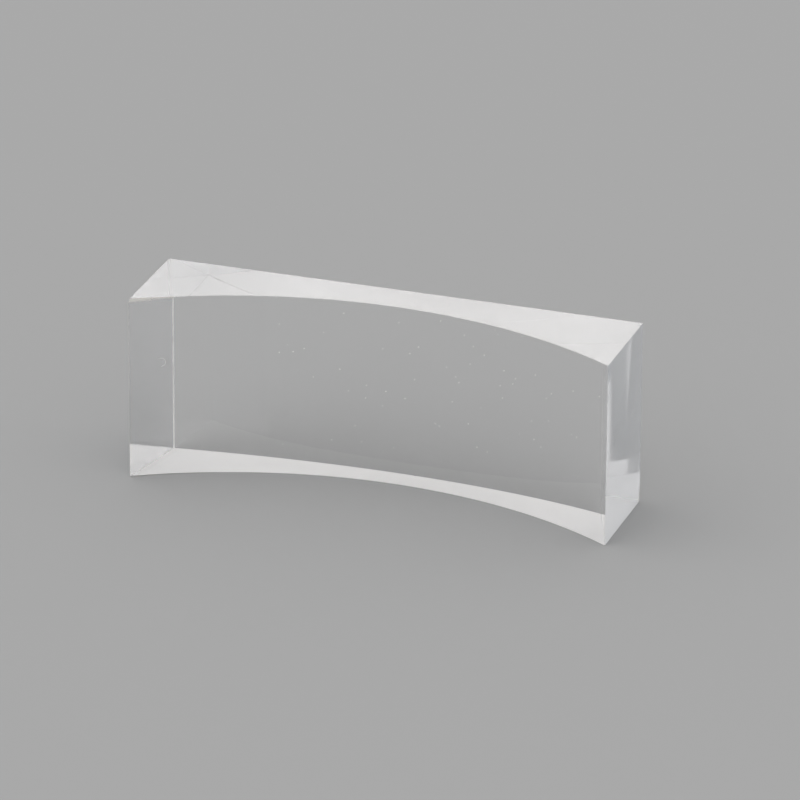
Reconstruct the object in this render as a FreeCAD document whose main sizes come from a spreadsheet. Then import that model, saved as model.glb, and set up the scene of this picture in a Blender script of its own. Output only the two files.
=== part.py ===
"""Plano-concave lens block for a ray table, cut from cast acrylic sheet.

The block stands on its base. X runs along it, Y is the optical axis and +Z is up.
Its back is the flat (plano) face, towards +Y. Its front is a concave cylinder whose
axis is upright, so it spreads light in the plane of the table only. It is one solid
piece, with a small arris on every edge where the sharp corner was taken off.
The origin is under the middle of the block, at the height of its base.
"""

import FreeCAD
import Part
import os
import Sketcher

# The driving dimensions in millimetres, and what each one sets
SIZES = (
    ("lens_length", 65.0, "end face to end face, along X"),
    ("lens_height", 25.0, "base to top, the thickness of the stock sheet"),
    ("centre_thickness", 5.6, "flat face to the deepest line of the concave face"),
    ("curve_radius", 61.0, "radius of the concave face"),
    ("arris_leg", 0.1, "how far an edge is taken back along each of its two faces"),
)
# How much thicker the lens is at its ends than in the middle
SAGITTA = "Sizes.curve_radius - sqrt(Sizes.curve_radius^2 - (Sizes.lens_length / 2)^2)"

# The plan sketch's lines in the order they are drawn, then the numbers that a sketch
# gives to the ends and the centre of a line and to its own two axes
FLAT_BACK, RIGHT_END, CONCAVE_FRONT, LEFT_END = range(4)
START, FINISH, MIDDLE = range(1, 4)
X_AXIS, Y_AXIS = range(-1, -3, -1)


def make_sheet(doc):
    """The spreadsheet that holds the driving dimensions."""
    sheet = doc.addObject("Spreadsheet::Sheet", "Sizes")
    for row, (alias, value, meaning) in enumerate(SIZES, start=1):
        sheet.set(f"A{row}", alias)
        sheet.set(f"B{row}", str(value))
        sheet.set(f"C{row}", meaning)
        sheet.setAlias(f"B{row}", alias)
    doc.recompute()
    return sheet


def origin_plane(body, role):
    """One of the body's own origin planes, found by its role."""
    return next(plane for plane in body.Origin.OriginFeatures if plane.Role == role)


def draw_outline(sketch, sheet):
    """The flat back, the two ends and the concave arc, at the sizes in the sheet."""
    half_length = sheet.lens_length / 2
    radius = sheet.curve_radius
    sagitta = radius - (radius**2 - half_length**2) ** 0.5
    half_thickness = (sheet.centre_thickness + sagitta) / 2
    back_left = FreeCAD.Vector(-half_length, half_thickness, 0)
    back_right = FreeCAD.Vector(half_length, half_thickness, 0)
    front_right = FreeCAD.Vector(half_length, -half_thickness, 0)
    front_left = FreeCAD.Vector(-half_length, -half_thickness, 0)
    deepest = FreeCAD.Vector(0, half_thickness - sheet.centre_thickness, 0)
    sketch.addGeometry(Part.LineSegment(back_left, back_right))
    sketch.addGeometry(Part.LineSegment(back_right, front_right))
    sketch.addGeometry(Part.Arc(front_right, deepest, front_left))
    sketch.addGeometry(Part.LineSegment(front_left, back_left))


def bind(sketch, name, expression, kind, *where):
    """Adds a dimension to the sketch and ties it to the sheet."""
    index = sketch.addConstraint(Sketcher.Constraint(kind, *where))
    sketch.renameConstraint(index, name)
    sketch.setExpression(f"Constraints.{name}", expression)


def constrain_outline(sketch, sheet):
    """Closes the outline, centres it on the optical axis and binds its sizes."""
    ring = (FLAT_BACK, RIGHT_END, CONCAVE_FRONT, LEFT_END)
    for this, following in zip(ring, ring[1:] + ring[:1]):
        sketch.addConstraint(Sketcher.Constraint("Coincident", this, FINISH, following, START))
    sketch.addConstraint(Sketcher.Constraint("Vertical", RIGHT_END))
    sketch.addConstraint(Sketcher.Constraint("Vertical", LEFT_END))
    sketch.addConstraint(
        Sketcher.Constraint("Symmetric", FLAT_BACK, START, FLAT_BACK, FINISH, Y_AXIS)
    )
    sketch.addConstraint(Sketcher.Constraint("PointOnObject", CONCAVE_FRONT, MIDDLE, Y_AXIS))
    bind(
        sketch, "length", "Sizes.lens_length",
        "DistanceX", FLAT_BACK, START, FLAT_BACK, FINISH, sheet.lens_length,
    )
    bind(
        sketch, "concave_radius", "Sizes.curve_radius",
        "Radius", CONCAVE_FRONT, sheet.curve_radius,
    )
    bind(
        sketch, "arc_centre_to_back", "Sizes.centre_thickness + Sizes.curve_radius",
        "DistanceY", CONCAVE_FRONT, MIDDLE, FLAT_BACK, START,
        sheet.centre_thickness + sheet.curve_radius,
    )
    bind(
        sketch, "axis_to_back", f"(Sizes.centre_thickness + {SAGITTA}) / 2",
        "DistanceY", X_AXIS, START, FLAT_BACK, START, sketch.Geometry[FLAT_BACK].StartPoint.y,
    )


def make_lens(doc, sheet):
    """The block: its plan outline raised to its height, with an arris on every edge."""
    body = doc.addObject("PartDesign::Body", "lens")
    body.Label = "plano_concave_lens"

    plan = body.newObject("Sketcher::SketchObject", "plan_outline")
    plan.AttachmentSupport = (origin_plane(body, "XY_Plane"), [""])
    plan.MapMode = "FlatFace"
    draw_outline(plan, sheet)
    constrain_outline(plan, sheet)

    block = body.newObject("PartDesign::Pad", "block")
    block.Profile = plan
    block.setExpression("Length", "Sizes.lens_height")
    plan.Visibility = False
    doc.recompute()

    arris = body.newObject("PartDesign::Chamfer", "arris")
    arris.Base = (block, [f"Edge{number + 1}" for number in range(len(block.Shape.Edges))])
    arris.setExpression("Size", "Sizes.arris_leg")
    return body


def check(doc, bodies):
    """Stops the build at a failed feature, or at a sub-part that isn't one closed solid."""
    for item in doc.Objects:
        if "Invalid" in item.State or "Error" in item.State:
            raise RuntimeError(f"{item.Label} failed: {item.State}")
    for body in bodies:
        shape = body.Shape
        if shape.isNull() or not shape.isValid() or len(shape.Solids) != 1:
            raise RuntimeError(f"{body.Label} is not one valid solid")


def main():
    doc = FreeCAD.newDocument("plano_concave_lens")
    sheet = make_sheet(doc)
    bodies = [make_lens(doc, sheet)]
    doc.recompute()
    check(doc, bodies)

    os.makedirs("parts", exist_ok=True)
    for body in bodies:
        body.Shape.exportStep(f"parts/{body.Label}.step")
        box = body.Shape.BoundBox
        print(
            f"{body.Label}: {box.XLength:.3f} x {box.YLength:.3f} x {box.ZLength:.3f} mm,"
            f" {body.Shape.Volume:.1f} mm3, {len(body.Shape.Faces)} faces"
        )


main()
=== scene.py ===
"""A plano-concave lens block in clear cast acrylic, standing on its matte white underside.

The block is sawn from sheet and its front is milled to a concave cylinder. Its edges are
crisp, but for a few that are broken, scraped, worn or rubbed. The walls and the top are
clear, and the white coat below lights them from inside. Lengths are in metres: +X runs along
the block, +Y is out of its flat back and +Z is up.
"""

import math

import bpy
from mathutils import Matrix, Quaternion, Vector


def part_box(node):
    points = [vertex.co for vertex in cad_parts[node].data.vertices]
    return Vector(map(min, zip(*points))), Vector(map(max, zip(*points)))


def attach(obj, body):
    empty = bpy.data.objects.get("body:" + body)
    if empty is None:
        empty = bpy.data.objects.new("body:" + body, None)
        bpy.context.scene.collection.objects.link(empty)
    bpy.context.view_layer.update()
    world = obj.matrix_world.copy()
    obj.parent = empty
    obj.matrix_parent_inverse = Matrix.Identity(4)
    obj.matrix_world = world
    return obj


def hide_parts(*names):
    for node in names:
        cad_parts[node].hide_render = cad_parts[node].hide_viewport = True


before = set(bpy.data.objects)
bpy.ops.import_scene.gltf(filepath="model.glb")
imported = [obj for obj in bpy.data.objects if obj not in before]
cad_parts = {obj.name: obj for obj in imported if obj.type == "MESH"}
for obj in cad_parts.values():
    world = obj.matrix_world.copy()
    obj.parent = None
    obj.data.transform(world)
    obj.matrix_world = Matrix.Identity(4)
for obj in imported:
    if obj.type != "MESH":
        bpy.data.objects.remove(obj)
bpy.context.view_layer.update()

# The block's outline, from the frame, and the curve that its box can't tell
LENS = "plano_concave_lens"
LOW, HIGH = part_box(LENS)
LENGTH = HIGH.x - LOW.x
HEIGHT = HIGH.z - LOW.z
BACK = HIGH.y
CURVE_RADIUS = 0.061
CENTRE_THICKNESS = 0.0056
CURVE_DEPTH = CURVE_RADIUS - math.sqrt(CURVE_RADIUS**2 - (LENGTH / 2) ** 2)
CURVE_CENTRE = BACK - CENTRE_THICKNESS - CURVE_RADIUS
# The facets of the mill's full turn
CURVE_FACETS = 724
# The block is sawn this much too thick, and the mill takes it off with the curve
SAWN_SPARE = 0.001
SAWN_THICKNESS = CENTRE_THICKNESS + CURVE_DEPTH + SAWN_SPARE
# Points along the sawn block, between which a broken edge may narrow
SAWN_POINTS = 27

# How far each kind of edge is taken back along its two faces
CRISP_EDGE = 0.000005
SCRAPED_EDGE = 0.0001
LEFT_BASE_EDGE = 0.00003
# The base edge at the back is broken at its right end only, and crisp this far along
BACK_EDGE = 0.00005
BACK_REACH = 0.012
# At the left tip the curve's base edge is worn and its top edge is rubbed away, and both are
# crisp again this far along
WORN_EDGE = 0.00009
WORN_REACH = 0.012
RUBBED_EDGE = 0.0004
RUBBED_REACH = 0.0055
# An edge that turns more than this is a real one, and not a step of the curve
SHARP_ANGLE = math.radians(10)
# A face whose normal has this much of an axis faces along it, and this little, across it
FACES_ALONG = 0.99
FACES_ACROSS = 0.1

# Chips in the edges: where each one is and how far it reaches
CHIPS = (
    (Vector((HIGH.x, LOW.y, 0.0196)), 0.00013),
    (Vector((HIGH.x, LOW.y, 0.0159)), 0.00011),
    (Vector((-0.0267, BACK, 0.0)), 0.00015),
    (Vector((0.0026, BACK, 0.0)), 0.00015),
)
CHIP_GRAIN = 9000.0
CHIP_GRAIN_DETAIL = 1
CHIP_ROUGHNESS = 0.00006
CHIP_ROUNDNESS = 2
NOISE_MIDDLE = (0.5, 0.5, 0.5)
# Base corners that are worn off flat: where each one was and how far it is lost along X, Y
# and Z
WORN_CORNERS = (
    (Vector((HIGH.x, BACK, 0.0)), Vector((-0.00008, -0.0009, 0.003))),
    (Vector((HIGH.x, LOW.y, 0.0)), Vector((-0.0003, 0.0003, 0.0002))),
)
FILE_SIZE = 0.01

# Clear cast acrylic
ACRYLIC_INDEX = 1.49
ACRYLIC_TONE = (1.0, 1.0, 1.0)
# The mill leaves a faint veil on the ends, so they are a little less than clear; the veil's
# cool tint is a painted reflection of cool light
VEIL_WITH_PAINTED_COOL_TONE = (0.93, 0.96, 1.0)
VEILED_CLEARNESS = 0.88
# Haze comes in patches: their size and stretch on each face, and the roughness they span
WALL_HAZE = (90, (1, 1, 1), 0.0, 0.01)
TOOL_MARKS = (700, (1, 1, 0.05), 0.04, 0.08)
HAZE_DETAIL = 4
HAZE_LEVELS = (0.35, 0.7)
# Ground edges: how clear each one is, its least roughness and its tone
GROUND_EDGES = {
    "scraped_edge": (0.9, 0.8, (1.0, 0.99, 0.98)),
    # The rubbed edge's warm tone is a painted warm tint of the light that comes through it
    "rubbed_edge_painted_warm": (0.8, 0.3, (0.9, 0.86, 0.8)),
    "chipped_edge": (0.9, 0.1, (1.0, 1.0, 1.0)),
    "worn_corner": (1.0, 0.0, (1.0, 0.99, 0.98)),
}
GRIT_SCALE = 1500
GRIT_STRETCH = (1, 1, 1)
GRIT_SPREAD = 0.2
# White coats: the tone of each one, and how much its clouds darken it. The coats on the base
# edges are darker copies of the white, as painted shade along those edges
WHITE_COATS = {
    "white_underside": ((0.93, 0.915, 0.905), 0.03),
    "coated_edge_painted_shade": ((0.76, 0.75, 0.74), 0.12),
    "coated_end_edge_painted_shade": ((0.8, 0.79, 0.78), 0.02),
}
COAT_ROUGHNESS = 0.85
COAT_CLOUDS = 160
COAT_CLOUD_DETAIL = 5
COAT_CLOUD_LEVELS = (0.3, 0.65)

# Dust on the front: how many flecks there are to the square metre, and their size
DUST_DENSITY = 60000.0
DUST_SEED = 7
FLECK_RADIUS = 0.00006
FLECK_ROUNDNESS = 1
FLECK_SHAPES = (Vector((0.45, 0.45, 0.45)), Vector((1.3, 1.3, 1.6)))
# Below this height they are lost against the white underside, and none cling this near the
# left end
DUST_LOWEST = 0.004
DUST_FREE_END = 0.017
DUST_TONE = (0.76, 0.75, 0.73)
DUST_ROUGHNESS = 0.9
# One curled fibre that clings to the front near its left end
FIBRE_PLACE = (-0.02884, 0.0159)
FIBRE_CURL = 0.00057
FIBRE_RADIUS = 0.000015
FIBRE_SWEEP = math.radians(215)
FIBRE_STEPS = 24
FIBRE_SIDES = 6
QUARTER_TURN = math.radians(90)

# The sky's level at the horizon and overhead, and a soft box at the front left
SKY_LEVELS = (1.08, 1.18)
SKY_TONE = (1.0, 1.0, 1.0)
SOFTBOX_AZIMUTH = math.radians(225)
SOFTBOX_ELEVATION = math.radians(50)
SOFTBOX_WIDTH = math.radians(25)
SOFTBOX_FADE = math.radians(25)
SOFTBOX_LEVEL = 0.65

# A pale paper floor, a hair below the block
FLOOR_HALF = 10.0
FLOOR_DROP = 0.00002
FLOOR_TONE = (0.29, 0.29, 0.29)
FLOOR_ROUGHNESS = 0.95
FLOOR_SHINE = 0.1

# The camera: where it looks, from which side, from how high and from how far
CAMERA_AIM = Vector((-0.000424, BACK, 0.00947))
CAMERA_AZIMUTH = math.radians(18.799)
CAMERA_ELEVATION = math.radians(23.270)
CAMERA_ROLL = math.radians(0.352)
CAMERA_DISTANCE = 1.0196
CAMERA_LENS = 351.46
CAMERA_NEAR = 0.01

# Light that is trapped in the block bounces many times before it leaves
CLEAR_BOUNCES = 32
DIFFUSE_BOUNCES = 8


def add(tree, kind, inputs=None, **settings):
    """A new node with its settings; each input is given a value or another node's output."""
    made = tree.nodes.new(kind)
    for name, value in settings.items():
        setattr(made, name, value)
    for name, value in (inputs or {}).items():
        if isinstance(value, bpy.types.NodeSocket):
            tree.links.new(value, made.inputs[name])
        else:
            made.inputs[name].default_value = value
    return made


def maths(tree, operation, *values):
    """The output of one Math node."""
    return add(tree, "ShaderNodeMath", dict(enumerate(values)), operation=operation).outputs[0]


def half(tree, value):
    """Half of a value."""
    return maths(tree, "MULTIPLY", value, 0.5)


def above(tree, value, limit):
    """True where a value is over a limit."""
    return maths(tree, "GREATER_THAN", value, limit)


def below(tree, value, limit):
    """True where a value is under a limit."""
    return maths(tree, "LESS_THAN", value, limit)


def unless(tree, condition):
    """True where the condition isn't."""
    return maths(tree, "SUBTRACT", 1.0, condition)


def every(tree, *conditions):
    """True where all of the conditions are."""
    met = conditions[0]
    for condition in conditions[1:]:
        met = maths(tree, "MULTIPLY", met, condition)
    return met


def join(tree, parts):
    """The parts' geometry, in one."""
    together = add(tree, "GeometryNodeJoinGeometry")
    for part in parts:
        tree.links.new(part, together.inputs[0])
    return together.outputs[0]


def aim(azimuth, elevation):
    """The direction at an azimuth, clockwise from +Y as seen from above, and an elevation."""
    return Vector((
        math.sin(azimuth) * math.cos(elevation),
        math.cos(azimuth) * math.cos(elevation),
        math.sin(elevation),
    ))


def new_object(name, data):
    """A new object, in the scene."""
    made = bpy.data.objects.new(name, data)
    bpy.context.scene.collection.objects.link(made)
    return made


def new_material(name, tone, **constants):
    """A material with one Principled shader of this tone, and the shader's constants."""
    material = bpy.data.materials.new(name)
    material.use_nodes = True
    shader = material.node_tree.nodes["Principled BSDF"]
    shader.inputs["Base Color"].default_value = (*tone, 1)
    for socket, value in constants.items():
        shader.inputs[socket.replace("_", " ")].default_value = value
    return material


def drive(material, socket, output):
    """Lets a node's output set one input of the material's shader."""
    tree = material.node_tree
    tree.links.new(output, tree.nodes["Principled BSDF"].inputs[socket])


def add_haze(material, scale, stretch, least, most):
    """Roughness that changes in patches from least to most, stretched along an axis."""
    tree = material.node_tree
    place = add(tree, "ShaderNodeTexCoord").outputs["Object"]
    stretched = add(tree, "ShaderNodeMapping", {"Vector": place, "Scale": stretch})
    cloud = add(
        tree, "ShaderNodeTexNoise",
        {"Vector": stretched.outputs[0], "Scale": scale, "Detail": HAZE_DETAIL},
    )
    low, high = HAZE_LEVELS
    patchy = add(
        tree, "ShaderNodeMapRange",
        {"Value": cloud.outputs["Fac"], "From Min": low, "From Max": high,
         "To Min": least, "To Max": most},
    )
    drive(material, "Roughness", patchy.outputs["Result"])


def clear_acrylic(name, tone, clearness, haze):
    """Clear acrylic, whose haze comes in patches."""
    material = new_material(
        name, tone, Transmission_Weight=clearness, IOR=ACRYLIC_INDEX
    )
    add_haze(material, *haze)
    return material


def ground_edge(name):
    """An edge broken with abrasive, which is frosty and uneven along its length."""
    clearness, roughness, tone = GROUND_EDGES[name]
    grit = (GRIT_SCALE, GRIT_STRETCH, roughness, roughness + GRIT_SPREAD)
    return clear_acrylic(name, tone, clearness, grit)


def white_coat(name):
    """A matte white coat, with faint clouds."""
    tone, wear = WHITE_COATS[name]
    material = new_material(name, tone, Roughness=COAT_ROUGHNESS)
    tree = material.node_tree
    place = add(tree, "ShaderNodeTexCoord").outputs["Object"]
    cloud = add(
        tree, "ShaderNodeTexNoise",
        {"Vector": place, "Scale": COAT_CLOUDS, "Detail": COAT_CLOUD_DETAIL},
    )
    ramp = add(tree, "ShaderNodeValToRGB", {"Fac": cloud.outputs["Fac"]})
    worn, clean = ramp.color_ramp.elements
    worn.position, clean.position = COAT_CLOUD_LEVELS
    worn.color = (*(channel * (1 - wear) for channel in tone), 1)
    clean.color = (*tone, 1)
    drive(material, "Base Color", ramp.outputs["Color"])
    return material


def block_finishes():
    """Every finish of the block, by name."""
    finishes = [
        clear_acrylic("polished_acrylic", ACRYLIC_TONE, 1.0, WALL_HAZE),
        clear_acrylic("milled_end_painted_cool", VEIL_WITH_PAINTED_COOL_TONE, VEILED_CLEARNESS, TOOL_MARKS),
    ]
    finishes += [white_coat(name) for name in WHITE_COATS]
    finishes += [ground_edge(name) for name in GROUND_EDGES]
    return {finish.name: finish for finish in finishes}


def new_tree(name, inputs):
    """An empty Geometry Nodes tree with a geometry input and output and named inputs."""
    tree = bpy.data.node_groups.new(name, "GeometryNodeTree")
    for way in ("INPUT", "OUTPUT"):
        tree.interface.new_socket("Geometry", in_out=way, socket_type="NodeSocketGeometry")
    for label, value in inputs.items():
        kind = "NodeSocketInt" if isinstance(value, int) else "NodeSocketFloat"
        socket = tree.interface.new_socket(label, in_out="INPUT", socket_type=kind)
        socket.default_value = value
    return tree, tree.nodes.new("NodeGroupInput").outputs, tree.nodes.new("NodeGroupOutput")


def add_tree(piece, name, build, values, *extras):
    """Builds a tree with named inputs, puts it on a piece and sets those inputs."""
    tree, given, result = new_tree(name, values)
    made = build(tree, given, *extras)
    tree.links.new(made, result.inputs["Geometry"])
    modifier = piece.modifiers.new(name, "NODES")
    modifier.node_group = tree
    for item in tree.interface.items_tree:
        if item.item_type == "SOCKET" and item.name in values:
            modifier[item.identifier] = values[item.name]


def mesh_place(tree):
    """The X, Y and Z of each element's place."""
    place = add(tree, "GeometryNodeInputPosition").outputs[0]
    return add(tree, "ShaderNodeSeparateXYZ", {"Vector": place}).outputs


def mesh_facing(tree):
    """The X, Y and Z of each face's normal."""
    normal = add(tree, "GeometryNodeInputNormal").outputs[0]
    return add(tree, "ShaderNodeSeparateXYZ", {"Vector": normal}).outputs


def sharp_edges(tree, given):
    """Where an edge turns more than a step of the curve does."""
    turn = add(tree, "GeometryNodeInputMeshEdgeAngle").outputs["Unsigned Angle"]
    return above(tree, turn, given["Sharp Angle"])


def milled_block(tree, given):
    """A sawn block with the concave cylinder milled out of its front."""
    middle = maths(tree, "SUBTRACT", given["Back"], half(tree, given["Thickness"]))
    half_height = half(tree, given["Height"])
    size = add(
        tree, "ShaderNodeCombineXYZ",
        {"X": given["Length"], "Y": given["Thickness"], "Z": given["Height"]},
    )
    sawn = add(
        tree, "GeometryNodeMeshCube",
        {"Size": size.outputs[0], "Vertices X": given["Points Along"]},
    )
    block_place = add(tree, "ShaderNodeCombineXYZ", {"Y": middle, "Z": half_height})
    block = add(
        tree, "GeometryNodeTransform",
        {"Geometry": sawn.outputs["Mesh"], "Translation": block_place.outputs[0]},
    )
    cutter = add(
        tree, "GeometryNodeMeshCylinder",
        {"Vertices": given["Facets"], "Radius": given["Curve Radius"],
         "Depth": maths(tree, "MULTIPLY", given["Height"], 2.0)},
    )
    cutter_place = add(
        tree, "ShaderNodeCombineXYZ", {"Y": given["Curve Centre"], "Z": half_height}
    )
    mill = add(
        tree, "GeometryNodeTransform",
        {"Geometry": cutter.outputs["Mesh"], "Translation": cutter_place.outputs[0]},
    )
    milled = add(
        tree, "GeometryNodeMeshBoolean",
        {"Mesh 1": block.outputs[0], "Mesh 2": mill.outputs[0]},
        operation="DIFFERENCE", solver="EXACT",
    )
    return milled.outputs["Mesh"]


def narrowing_edge(tree, given, wear, distance):
    """The width of an edge that is broken at its tip and crisp again at its reach."""
    return add(
        tree, "ShaderNodeMapRange",
        {"Value": distance, "From Min": 0.0, "From Max": given[f"{wear} Reach"],
         "To Min": given[f"{wear} Edge"], "To Max": given["Crisp Edge"]},
    ).outputs["Result"]


def marked_block(tree, given):
    """The milled block, each sharp edge marked with its share of the widest edge's width."""
    block = milled_block(tree, given)
    place = mesh_place(tree)
    half_length = half(tree, given["Length"])
    from_left = maths(tree, "ADD", place["X"], half_length)
    from_right = maths(tree, "SUBTRACT", half_length, place["X"])
    left = below(tree, place["X"], 0.0)
    behind = above(tree, place["Y"], 0.0)
    on_base = below(tree, place["Z"], given["Rubbed Edge"])
    on_top = above(
        tree, place["Z"], maths(tree, "SUBTRACT", given["Height"], given["Rubbed Edge"])
    )
    upright = every(tree, unless(tree, on_base), unless(tree, on_top))
    left_end = below(tree, from_left, given["Crisp Edge"])
    left_of_curve = every(tree, left, unless(tree, behind), unless(tree, left_end))
    broken = narrowing_edge(tree, given, "Back", from_right)
    worn = narrowing_edge(tree, given, "Worn", from_left)
    rubbed = narrowing_edge(tree, given, "Rubbed", from_left)
    width = given["Crisp Edge"]
    for where, other in (
        (every(tree, on_base, behind), broken),
        (every(tree, on_base, left_end), given["Left Base Edge"]),
        (every(tree, on_base, left_of_curve), worn),
        (every(tree, upright, behind, left), given["Scraped Edge"]),
        (every(tree, on_top, left_of_curve), rubbed),
    ):
        width = add(
            tree, "GeometryNodeSwitch",
            {"Switch": where, "False": width, "True": other}, input_type="FLOAT",
        ).outputs[0]
    return add(
        tree, "GeometryNodeStoreNamedAttribute",
        {"Geometry": block, "Selection": sharp_edges(tree, given),
         "Name": "bevel_weight_edge",
         "Value": maths(tree, "DIVIDE", width, given["Rubbed Edge"])},
        data_type="FLOAT", domain="EDGE",
    ).outputs[0]


def finished_block(tree, given, finishes):
    """The broken block with a finish on each face, by where it is and how it faces."""
    facing = mesh_facing(tree)
    place = mesh_place(tree)
    rise = maths(tree, "ABSOLUTE", facing["Z"])
    half_length = half(tree, given["Length"])
    end_wall = above(tree, maths(tree, "ABSOLUTE", facing["X"]), FACES_ALONG)
    underside = below(tree, facing["Z"], -FACES_ALONG)
    leaning = every(
        tree, above(tree, rise, FACES_ACROSS), below(tree, rise, FACES_ALONG)
    )
    upright = below(tree, rise, FACES_ACROSS)
    left = below(tree, place["X"], 0.0)
    behind = above(tree, place["Y"], 0.0)
    low = below(tree, place["Z"], given["Scraped Edge"])
    at_end = above(
        tree, maths(tree, "ABSOLUTE", place["X"]),
        maths(tree, "SUBTRACT", half_length, given["Scraped Edge"]),
    )
    at_tip = below(
        tree, place["X"], maths(tree, "SUBTRACT", given["Rubbed Reach"], half_length)
    )
    off_end = unless(tree, end_wall)
    in_front = unless(tree, behind)
    high = unless(tree, low)
    finished = given["Geometry"]
    for finish, where in (
        ("polished_acrylic", True),
        # The ends carry the mill's veil, with a painted cool tint that stands in for reflected
        # cool light
        ("milled_end_painted_cool", end_wall),
        ("white_underside", underside),
        # The base edges' coats are darker than the underside's white: painted shade along
        # those edges
        ("coated_edge_painted_shade", every(tree, leaning, low)),
        ("coated_end_edge_painted_shade", every(tree, leaning, low, at_end)),
        ("scraped_edge", every(tree, upright, off_end, at_end, left, behind)),
        # The rubbed facet carries a painted warm tint of the light that comes through it
        ("rubbed_edge_painted_warm", every(tree, leaning, high, at_tip, in_front)),
    ):
        finished = add(
            tree, "GeometryNodeSetMaterial",
            {"Geometry": finished, "Selection": where, "Material": finishes[finish]},
        ).outputs[0]
    return finished


def chip_lumps(tree, given):
    """Rough lumps where the edges are chipped."""
    lumps = []
    for place, reach in CHIPS:
        lump = add(
            tree, "GeometryNodeMeshIcoSphere",
            {"Radius": reach, "Subdivisions": CHIP_ROUNDNESS},
        )
        moved = add(
            tree, "GeometryNodeTransform",
            {"Geometry": lump.outputs["Mesh"], "Translation": place},
        )
        lumps.append(moved.outputs[0])
    grain = add(
        tree, "ShaderNodeTexNoise", {"Scale": CHIP_GRAIN, "Detail": CHIP_GRAIN_DETAIL}
    )
    jitter = add(
        tree, "ShaderNodeVectorMath",
        {0: grain.outputs["Color"], 1: NOISE_MIDDLE}, operation="SUBTRACT",
    )
    offset = add(
        tree, "ShaderNodeVectorMath",
        {0: jitter.outputs[0], "Scale": given["Chip Roughness"]}, operation="SCALE",
    )
    return add(
        tree, "GeometryNodeSetPosition",
        {"Geometry": join(tree, lumps), "Offset": offset.outputs[0]},
    ).outputs[0]


def corner_files(tree, given):
    """Flat files, laid across the corners that are worn off."""
    size = add(
        tree, "ShaderNodeCombineXYZ",
        {"X": given["File Size"], "Y": given["File Size"], "Z": given["File Size"]},
    )
    flat = add(tree, "GeometryNodeMeshCube", {"Size": size.outputs[0]})
    files = []
    for corner, lost in WORN_CORNERS:
        outwards = -Vector([1 / share for share in lost]).normalized()
        face = corner + Vector((lost.x, 0, 0))
        laid = add(
            tree, "GeometryNodeTransform",
            {"Geometry": flat.outputs["Mesh"],
             "Translation": face + outwards * (FILE_SIZE / 2),
             "Rotation": outwards.to_track_quat("Z", "Y").to_euler()},
        )
        files.append(laid.outputs[0])
    return join(tree, files)


def chipped_block(tree, given, finishes):
    """The finished block, chipped and worn, shaded smooth between its sharp edges."""
    block = given["Geometry"]
    for tools, finish in (
        (chip_lumps(tree, given), "chipped_edge"),
        (corner_files(tree, given), "worn_corner"),
    ):
        marked = add(
            tree, "GeometryNodeSetMaterial",
            {"Geometry": tools, "Selection": True, "Material": finishes[finish]},
        )
        block = add(
            tree, "GeometryNodeMeshBoolean",
            {"Mesh 1": block, "Mesh 2": marked.outputs[0]},
            operation="DIFFERENCE", solver="EXACT",
        ).outputs["Mesh"]
    smooth = add(
        tree, "GeometryNodeSetShadeSmooth",
        {"Geometry": block, "Shade Smooth": True}, domain="FACE",
    )
    return add(
        tree, "GeometryNodeSetShadeSmooth",
        {"Geometry": smooth.outputs[0], "Shade Smooth": False,
         "Selection": sharp_edges(tree, given)},
        domain="EDGE",
    ).outputs[0]


def loose_flecks(tree, given):
    """Flecks scattered on the block's front."""
    facing = mesh_facing(tree)
    end_wall = above(tree, maths(tree, "ABSOLUTE", facing["X"]), FACES_ALONG)
    front = every(
        tree,
        below(tree, maths(tree, "ABSOLUTE", facing["Z"]), FACES_ACROSS),
        unless(tree, end_wall),
        below(tree, facing["Y"], 0.0),
    )
    scattered = add(
        tree, "GeometryNodeDistributePointsOnFaces",
        {"Mesh": given["Geometry"], "Selection": front,
         "Density": given["Density"], "Seed": given["Seed"]},
    )
    fleck = add(
        tree, "GeometryNodeMeshIcoSphere",
        {"Radius": given["Fleck"], "Subdivisions": FLECK_ROUNDNESS},
    )
    place = mesh_place(tree)
    kept = every(
        tree,
        above(tree, place["Z"], given["Lowest"]),
        above(tree, place["X"], given["Leftmost"]),
    )
    smallest, largest = FLECK_SHAPES
    shape = add(
        tree, "FunctionNodeRandomValue",
        {"Min": smallest, "Max": largest, "Seed": given["Seed"]},
        data_type="FLOAT_VECTOR",
    )
    flecks = add(
        tree, "GeometryNodeInstanceOnPoints",
        {"Points": scattered.outputs["Points"], "Instance": fleck.outputs["Mesh"],
         "Selection": kept, "Scale": shape.outputs[0]},
    )
    return add(
        tree, "GeometryNodeRealizeInstances", {"Geometry": flecks.outputs[0]}
    ).outputs[0]


def curled_fibre(tree, given):
    """One curled fibre, laid flat against the curve."""
    curl = add(
        tree, "GeometryNodeCurveArc",
        {"Resolution": FIBRE_STEPS, "Radius": given["Curl"], "Start Angle": -QUARTER_TURN,
         "Sweep Angle": FIBRE_SWEEP},
    )
    thread = add(
        tree, "GeometryNodeCurvePrimitiveCircle",
        {"Resolution": FIBRE_SIDES, "Radius": given["Fibre"]},
    )
    fibre = add(
        tree, "GeometryNodeCurveToMesh",
        {"Curve": curl.outputs["Curve"], "Profile Curve": thread.outputs["Curve"],
         "Fill Caps": True},
    )
    across, up = FIBRE_PLACE
    on_curve = CURVE_CENTRE + math.sqrt(CURVE_RADIUS**2 - across**2)
    return add(
        tree, "GeometryNodeTransform",
        {"Geometry": fibre.outputs["Mesh"], "Translation": (across, on_curve, up),
         "Rotation": (QUARTER_TURN, 0.0, math.asin(-across / CURVE_RADIUS))},
    ).outputs[0]


def dust(tree, given, fluff):
    """Flecks scattered on the block's front, and one curled fibre."""
    clinging = join(tree, (loose_flecks(tree, given), curled_fibre(tree, given)))
    return add(
        tree, "GeometryNodeSetMaterial",
        {"Geometry": clinging, "Selection": True, "Material": fluff},
    ).outputs[0]


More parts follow.
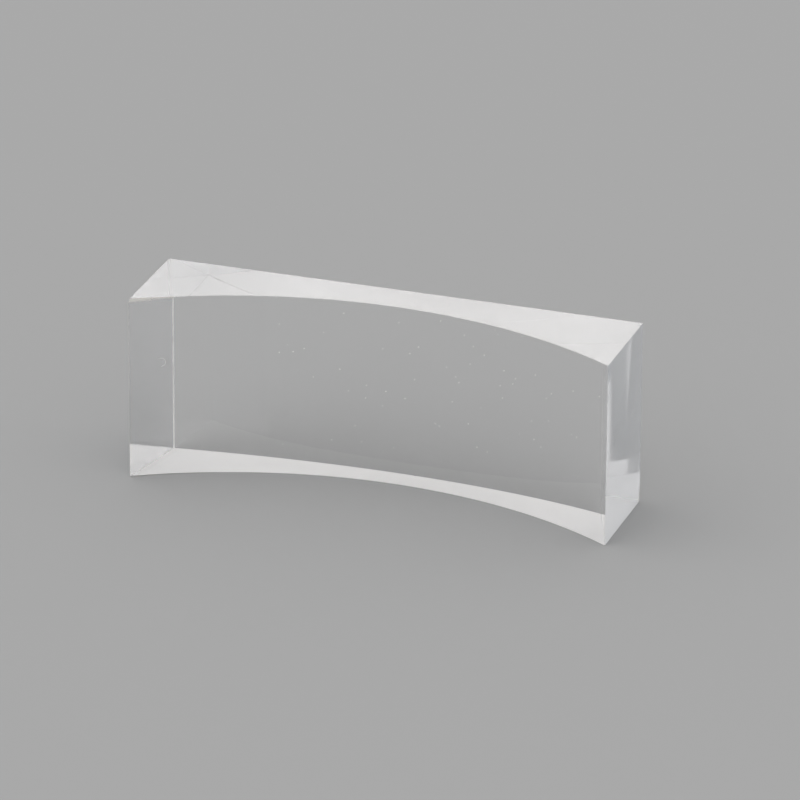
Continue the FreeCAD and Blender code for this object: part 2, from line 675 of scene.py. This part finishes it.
def plain_mesh(work, name):
    """A piece with the mesh that a work object's modifiers end in; the work object goes."""
    bpy.context.view_layer.update()
    evaluated = work.evaluated_get(bpy.context.evaluated_depsgraph_get())
    mesh = bpy.data.meshes.new_from_object(evaluated)
    bpy.data.objects.remove(work)
    mesh.name = name
    return new_object(name, mesh)


def make_lens():
    """The block, its broken and chipped edges and its finishes, as one plain mesh."""
    finishes = block_finishes()
    work = new_object("lens_work", bpy.data.meshes.new("lens_work"))
    add_tree(work, "milled_block", marked_block, {
        "Length": LENGTH,
        "Height": HEIGHT,
        "Back": BACK,
        "Thickness": SAWN_THICKNESS,
        "Curve Radius": CURVE_RADIUS,
        "Curve Centre": CURVE_CENTRE,
        "Facets": CURVE_FACETS,
        "Points Along": SAWN_POINTS,
        "Sharp Angle": SHARP_ANGLE,
        "Crisp Edge": CRISP_EDGE,
        "Scraped Edge": SCRAPED_EDGE,
        "Left Base Edge": LEFT_BASE_EDGE,
        "Back Edge": BACK_EDGE,
        "Back Reach": BACK_REACH,
        "Worn Edge": WORN_EDGE,
        "Worn Reach": WORN_REACH,
        "Rubbed Edge": RUBBED_EDGE,
        "Rubbed Reach": RUBBED_REACH,
    })
    breaking = work.modifiers.new("broken_edges", "BEVEL")
    breaking.width = RUBBED_EDGE
    breaking.segments = 1
    breaking.limit_method = "WEIGHT"
    breaking.use_clamp_overlap = False
    add_tree(work, "lens_finish", finished_block, {
        "Length": LENGTH,
        "Scraped Edge": SCRAPED_EDGE,
        "Rubbed Reach": RUBBED_REACH,
    }, finishes)
    add_tree(work, "chips", chipped_block, {
        "Sharp Angle": SHARP_ANGLE,
        "Chip Roughness": CHIP_ROUGHNESS,
        "File Size": FILE_SIZE,
    }, finishes)
    lens = plain_mesh(work, "lens_block")
    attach(lens, "root")
    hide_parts(LENS)
    return lens


def make_dust(lens):
    """The dust that clings to the block."""
    fluff = new_material("dust", DUST_TONE, Roughness=DUST_ROUGHNESS)
    work = new_object("dust_work", lens.data.copy())
    add_tree(work, "dust", dust, {
        "Density": DUST_DENSITY,
        "Seed": DUST_SEED,
        "Lowest": DUST_LOWEST,
        "Leftmost": LOW.x + DUST_FREE_END,
        "Fleck": FLECK_RADIUS,
        "Curl": FIBRE_CURL,
        "Fibre": FIBRE_RADIUS,
    }, fluff)
    flecks = plain_mesh(work, "dust_flecks")
    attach(flecks, "root")


def make_floor():
    """A plain pale floor."""
    mesh = bpy.data.meshes.new("floor")
    corners = [
        (x * FLOOR_HALF, y * FLOOR_HALF, -FLOOR_DROP)
        for x, y in ((-1, -1), (1, -1), (1, 1), (-1, 1))
    ]
    mesh.from_pydata(corners, [], [(0, 1, 2, 3)])
    paper = new_material(
        "floor_paper", FLOOR_TONE, Roughness=FLOOR_ROUGHNESS, Specular_IOR_Level=FLOOR_SHINE
    )
    mesh.materials.append(paper)
    new_object("floor", mesh)


def make_light():
    """A soft studio dome, a little brighter overhead, with a large soft box in it."""
    world = bpy.data.worlds.new("studio")
    bpy.context.scene.world = world
    world.use_nodes = True
    tree = world.node_tree
    direction = add(tree, "ShaderNodeTexCoord").outputs["Generated"]
    height = add(tree, "ShaderNodeSeparateXYZ", {"Vector": direction}).outputs["Z"]
    horizon, overhead = SKY_LEVELS
    dome = add(
        tree, "ShaderNodeMapRange",
        {"Value": height, "From Min": 0.0, "From Max": 1.0,
         "To Min": horizon, "To Max": overhead},
    ).outputs["Result"]
    nearness = add(
        tree, "ShaderNodeVectorMath",
        {0: direction, 1: aim(SOFTBOX_AZIMUTH, SOFTBOX_ELEVATION)}, operation="DOT_PRODUCT",
    ).outputs["Value"]
    softbox = add(
        tree, "ShaderNodeMapRange",
        {"Value": nearness, "From Min": math.cos(SOFTBOX_WIDTH + SOFTBOX_FADE),
         "From Max": math.cos(SOFTBOX_WIDTH), "To Min": 0.0, "To Max": SOFTBOX_LEVEL},
        interpolation_type="SMOOTHSTEP",
    ).outputs["Result"]
    background = tree.nodes["Background"]
    background.inputs["Color"].default_value = (*SKY_TONE, 1)
    tree.links.new(maths(tree, "ADD", dome, softbox), background.inputs["Strength"])


def make_camera():
    """The camera, at the viewing angle of the photograph."""
    back = aim(math.pi - CAMERA_AZIMUTH, CAMERA_ELEVATION)
    camera = new_object("camera", bpy.data.cameras.new("camera"))
    camera.data.lens = CAMERA_LENS
    camera.data.clip_start = CAMERA_NEAR
    camera.location = CAMERA_AIM + back * CAMERA_DISTANCE
    camera.rotation_mode = "QUATERNION"
    camera.rotation_quaternion = (
        (-back).to_track_quat("-Z", "Y") @ Quaternion((0, 0, 1), CAMERA_ROLL)
    )
    bpy.context.scene.camera = camera


def set_render():
    """Enough bounces for light that is trapped in the block, and plain colours."""
    scene = bpy.context.scene
    scene.view_settings.view_transform = "Standard"
    scene.cycles.max_bounces = CLEAR_BOUNCES
    scene.cycles.glossy_bounces = CLEAR_BOUNCES
    scene.cycles.transmission_bounces = CLEAR_BOUNCES
    scene.cycles.diffuse_bounces = DIFFUSE_BOUNCES


make_camera()
make_dust(make_lens())
make_floor()
make_light()
set_render()
